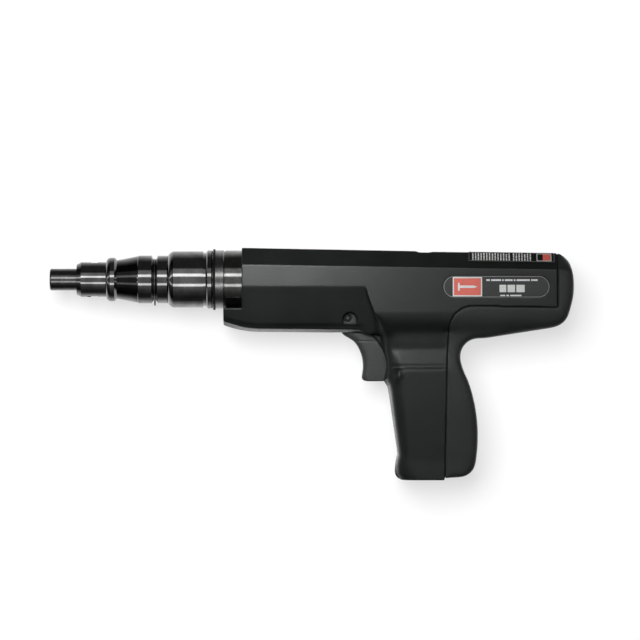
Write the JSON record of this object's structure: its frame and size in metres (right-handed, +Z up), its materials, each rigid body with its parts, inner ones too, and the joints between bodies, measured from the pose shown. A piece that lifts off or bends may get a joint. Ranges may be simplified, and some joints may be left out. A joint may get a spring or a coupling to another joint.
{
  "type": "powder-actuated nail gun",
  "caption": "Semi-automatic powder-actuated fastening tool with a pistol grip, a press-in nose, a pull-out barrel with a piston, and a strip channel up through the grip.",
  "frame": {"origin": "centre of the muzzle face, on the axis of the fastener guide's bore", "axes": "+X from the muzzle to the butt, +Y to the tool's right, +Z up, with the tool held upright and its bore level"},
  "size_m": [0.3429, 0.0461, 0.1517],
  "materials": {
    "shell_plastic": "fine moulded texture, satin black with a faint green-grey cast",
    "pad_rubber": "soft matte overmould",
    "trigger_plastic": "satin",
    "nameplate_print": null,
    "label_print": null,
    "guide_plastic": "moulded",
    "polished_steel": "polished dark oxide",
    "guide_steel": "turned, dark",
    "brushed_steel": "matte turned",
    "inner_steel": "machined",
    "pin_steel": "ground, oxide",
    "spring_steel": "drawn wire",
    "screw_steel": "black oxide",
    "ring_rubber": "matte"
  },
  "bodies": {
    "housing": {"left_shell": "shell_plastic", "right_shell": "shell_plastic", "rear_pad": "pad_rubber", "shell_screws": "screw_steel", "side_nameplate": "nameplate_print", "top_label": "label_print", "breech_block": "inner_steel", "strip_guide": "guide_plastic", "trigger_pin": "pin_steel", "sear_pin": "pin_steel", "trigger_spring": "spring_steel", "sear_spring": "spring_steel", "feed_spring": "spring_steel", "contact_spring": "spring_steel", "mainspring": "spring_steel", "spring_plug": "inner_steel"},
    "carrier": {"receiver_sleeve": "polished_steel", "matte_ring": "brushed_steel", "bumper_ring": "ring_rubber", "stop_pin": "pin_steel", "cocking_rod": "inner_steel"},
    "barrel": {"fastener_guide": "guide_steel", "guide_sleeve": "polished_steel", "muzzle_cone": "polished_steel", "retaining_clip": "spring_steel", "barrel_tube": "inner_steel", "barrel_collar": "polished_steel", "collar_ring": "polished_steel", "absorber_ring": "ring_rubber", "stop_ring": "inner_steel"},
    "piston_body": {"piston": "inner_steel", "piston_rings": "spring_steel"},
    "striker_body": {"striker": "inner_steel", "firing_pin": "inner_steel"},
    "trigger_body": {"trigger": "trigger_plastic", "trigger_cam_pin": "pin_steel"},
    "trigger_link": {"trigger_bar": "inner_steel"},
    "sear_body": {"sear": "inner_steel"},
    "feed": {"feed_pawl": "inner_steel"}
  },
  "joints": [
    {"name": "contact_slide", "type": "slide", "parent": "housing", "child": "carrier", "axis": [1, 0, 0], "range_m": [0, 0.0164], "stiffness_N_per_m": 2500, "springref_m": -0.012, "deforming": ["contact_spring"]},
    {"name": "reload_slide", "type": "slide", "parent": "carrier", "child": "barrel", "axis": [-1, 0, 0], "range_m": [0, 0.07]},
    {"name": "piston_slide", "type": "slide", "parent": "barrel", "child": "piston_body", "axis": [-1, 0, 0], "range_m": [0, 0.075]},
    {"name": "striker_slide", "type": "slide", "parent": "housing", "child": "striker_body", "axis": [1, 0, 0], "range_m": [0, 0.0164], "deforming": ["mainspring"]},
    {"name": "trigger_hinge", "type": "hinge", "parent": "housing", "child": "trigger_body", "pos_m": [0.1952, 0, -0.0251], "axis": [0, -1, 0], "range_deg": [0, 12], "stiffness_Nm_per_rad": 1.2, "springref_deg": -14.32, "deforming": ["trigger_spring"]},
    {"name": "trigger_bar_slide", "type": "slide", "parent": "housing", "child": "trigger_link", "axis": [1, 0, 0], "range_m": [0, 0.0012]},
    {"name": "sear_hinge", "type": "hinge", "parent": "housing", "child": "sear_body", "pos_m": [0.272, 0, -0.022], "axis": [0, -1, 0], "range_deg": [0, 7.5], "deforming": ["sear_spring"]},
    {"name": "feed_slide", "type": "slide", "parent": "housing", "child": "feed", "axis": [0, 0, 1], "range_m": [0, 0.0101], "deforming": ["feed_spring"]}
  ],
  "couplings": [
    {"joint": "striker_slide", "follows": "contact_slide", "ratio": 1},
    {"joint": "trigger_bar_slide", "follows": "trigger_hinge", "m_per_rad": 0.00495},
    {"joint": "sear_hinge", "follows": "trigger_hinge", "ratio": 0.5835},
    {"joint": "feed_slide", "follows": "reload_slide", "ratio": 0.1429}
  ]
}
